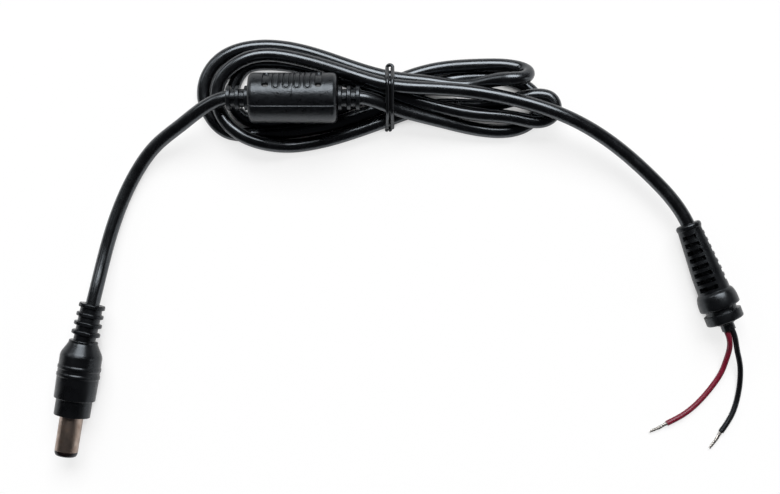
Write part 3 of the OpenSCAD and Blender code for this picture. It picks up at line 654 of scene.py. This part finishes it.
# ---------------------------------------------------------------- the strain relief boot
# Soft black moulding slid over the cord's end: a taper cut through by slots between three
# ribs, the middle row half a step along, then a smooth collar, the groove that the case
# wall sits in, a flange and a short neck. The jacket shows dark at the bottom of the slots.
BOOT_AT, BOOT_TURN = np.array([0.1861, 0.0801, 0.00655]), math.radians(-59.5)
boot_dir = np.array([math.cos(BOOT_TURN), math.sin(BOOT_TURN), 0.0])
# how far from the thin end each part of the boot ends, and the parts' radii
TAPER, COLLAR, GROOVE, FLANGE, BOOT = 0.0232, 0.0288, 0.0304, 0.0336, 0.0344
THIN_R, THICK_R, COLLAR_R, GROOVE_R, FLANGE_R = 0.0039, 0.0052, 0.00655, 0.005, 0.0061
SLOTS, SLOT_FROM, SLOT_W, SLOT_FLOOR, RIB_W = 8, 0.0022, 0.0013, 0.0027, 0.0017
boot_outline = eased([(0, 0.0024), (0, THIN_R - 0.0003), (0.0005, THIN_R + 0.0002),
                      (0.0016, THIN_R + 0.0002), (0.0017, THIN_R),
                      (TAPER * 0.75, THICK_R - 0.0001), (TAPER - 0.0001, THICK_R),
                      (TAPER, COLLAR_R - 0.0012), (TAPER + 0.0007, COLLAR_R - 0.0006),
                      (TAPER + 0.002, COLLAR_R - 0.0002), (TAPER + 0.0036, COLLAR_R),
                      (COLLAR, COLLAR_R), (COLLAR, GROOVE_R), (GROOVE, GROOVE_R),
                      (GROOVE, FLANGE_R), (FLANGE, FLANGE_R), (FLANGE, 0.0031), (BOOT, 0.0029),
                      (BOOT, 0.0022)],
                     [0.0003, 0.0003, 0.0002, 0.0001, 0.0004, 0.0003, 0.0001, 0.0003, 0.0006,
                      0.0008, 0.0008, 0.0005, 0.0002, 0.0002, 0.0007, 0.0010, 0.0002], 6)
slot_pitch = (TAPER - 0.0034) / SLOTS
first = SLOT_FROM + np.arange(SLOTS) * slot_pitch
# the rounds of points along the taper: four at each wall of a slot, and even ones between
edges = np.concatenate([first, first + SLOT_W, first + slot_pitch / 2,
                        first + slot_pitch / 2 + SLOT_W])
edges = edges[edges < TAPER - 0.0002]
taper_s = np.concatenate([edges + d for d in (-0.00014, -0.00005, 0.00005, 0.00014)]
                         + [np.arange(0.0019, TAPER - 0.0003, 0.00032)])
taper_s = np.unique(np.round(taper_s[(taper_s > 0.0018) & (taper_s < TAPER - 0.00025)], 6))
rounds = np.r_[boot_outline[boot_outline[:, 0] <= 0.0018],
               np.c_[taper_s, np.interp(taper_s, boot_outline[:, 0], boot_outline[:, 1])],
               boot_outline[boot_outline[:, 0] >= TAPER - 0.0002]]
# half the angle of a slot is asin((1.5 r - rib) / 2r); round each third of the boot, steps 0
# to 1 cover half a slot and steps 1 to 2 half a rib
half_slot = np.arcsin(np.clip((1.5 * rounds[:, 1] - RIB_W) / (2 * rounds[:, 1]), 0, 0.85))
steps = np.array([0, 0.25, 0.5, 0.72, 0.88, 0.96, 1.0, 1.03, 1.1, 1.25, 1.45, 1.7, 1.999])
steps = np.concatenate([-steps[:0:-1], steps])
mapped = np.where(np.abs(steps)[None, :] <= 1, steps[None, :] * half_slot[:, None],
                  np.sign(steps) * (half_slot[:, None] + (np.abs(steps)[None, :] - 1)
                                    * (math.pi / 3 - half_slot[:, None])))
# the three rows' middles in degrees of turn, and how far each is moved along the boot
slot_turn, cut = [], []
for middle_turn, shift in ((0, 0.0), (120, 0.5 * slot_pitch), (240, 0.0)):
    slot_turn.append(mapped + math.radians(middle_turn))
    along_cut = np.zeros(len(rounds))
    for place in first + shift + SLOT_W / 2:
        if place + SLOT_W / 2 < TAPER - 0.0002:
            along_cut = np.maximum(along_cut, well(rounds[:, 0] - place, SLOT_W / 2, 0.00012))
    cut.append(along_cut[:, None] * np.clip((1.015 - np.abs(steps)) / 0.03, 0, 1)[None, :])
boot_turns, cut = np.concatenate(slot_turn, axis=1), np.concatenate(cut, axis=1)
wall_r = np.repeat(rounds[:, 1][:, None], cut.shape[1], axis=1)
boot_r = np.where(cut > 0, wall_r - cut * np.maximum(wall_r - SLOT_FLOOR, 0), wall_r)
boot_black = plastic("boot_black", (0.0013, 0.0014, 0.0017), (0.0034, 0.0036, 0.0042),
                     (0.25, 0.35), 3600, 0.000015, 180, 0.00010, level=0.5)
boot = skin("relief_boot", turned(rounds, BOOT_AT, boot_dir, boot_r, boot_turns), boot_black,
            sharp=38)
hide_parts("strain_relief_boot")

# ---------------------------------------------------------------- the two leads
# The cord's two insulated cores come out past the boot, one dark red and one black, 1.8 mm
# thick, and lie in loose curves. Their ends are stripped, twisted and tinned.
red_route = [
    (0.2039, 0.04805, 0.00655), (0.20491, 0.04633, 0.00655), (0.2063, 0.042, 0.0046),
    (0.2063, 0.0385, 0.003), (0.2058, 0.0345, 0.0018), (0.2039, 0.0297, 0.0011),
    (0.2005, 0.024, 0.0009), (0.196, 0.0188, 0.0009), (0.191, 0.015, 0.0009),
]
black_route = [
    (0.2055, 0.04899, 0.00655), (0.20652, 0.04727, 0.00655), (0.2088, 0.0425, 0.0046),
    (0.2105, 0.039, 0.0034), (0.212, 0.034, 0.002), (0.2125, 0.0275, 0.001),
    (0.2115, 0.021, 0.0009), (0.2089, 0.015, 0.0009),
]
red_tip, black_tip = (0.186, 0.0112, 0.0009), (0.2063, 0.009, 0.0009)
LEAD_R, STRANDS_R = 0.0009, 0.00055


def lead(name, route, colours, rough):
    """An insulated wire along a smooth line, with its end cut square."""
    line = smooth_line(route, 0.0005)
    line[:, 2] = np.maximum(line[:, 2], LEAD_R + 0.00001)
    turn = np.linspace(0, 2 * math.pi, 24, endpoint=False)
    made = skin(name, carry(line, LEAD_R, turn), plastic(name + "_pvc", *colours, rough, 2400,
                                                         0.000006, 160, 0.00004, level=0.5))
    return made, line


def strands(name, start, tip, turns):
    """Tinned strands twisted together: a rod whose radius swells and dips five times round,
    the swells winding on that many turns from start to tip, and drawing in to a blunt uneven
    tip. It bends a little sideways and sinks to the table."""
    start, tip = np.array(start), np.array(tip)
    t = np.linspace(0, 1, 150)
    way = tip - start
    cross = np.array([-way[1], way[0], 0]) / np.linalg.norm(way)
    line = start + t[:, None] * way + (0.00018 * np.sin(t * 5.2) * t)[:, None] * cross
    line[:, 2] = 0.00062 + 0.00028 * (1 - t)
    turn = np.linspace(0, 2 * math.pi, 56, endpoint=False)
    swell = np.abs(np.cos(2.5 * (turn[None, :] + 2 * math.pi * turns * t[:, None])))
    size = STRANDS_R * (1 - 0.35 * t ** 3) * (1 + 0.06 * np.sin(17 * t + 0.6))
    size[-1] *= 0.55
    made = skin(name, carry(line, size[:, None] * (0.72 + 0.3 * swell), turn), tin)
    return made


tin = metal("tinned_strands", (0.50, 0.49, 0.47), (0.27, 0.25, 0.23), (1800, 4.0),
            (1800, 4.0, None), 0.00002, rough=(0.28, 0.5))
red, red_line = lead("red_wire", red_route, ((0.12, 0.002, 0.012), (0.17, 0.004, 0.020)),
                     (0.36, 0.48))
black, black_line = lead("black_wire", black_route,
                         ((0.0015, 0.0015, 0.0017), (0.003, 0.003, 0.0034)), (0.3, 0.4))
red_end = strands("red_strands", red_route[-1], red_tip, 1.6)
black_end = strands("black_strands", black_route[-1], black_tip, 1.6)
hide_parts("red_lead")
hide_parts("black_lead")
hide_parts("red_wire_end")
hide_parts("black_wire_end")
finish_node("plug_red_core", red.data.materials[0])
finish_node("plug_black_core", black.data.materials[0])
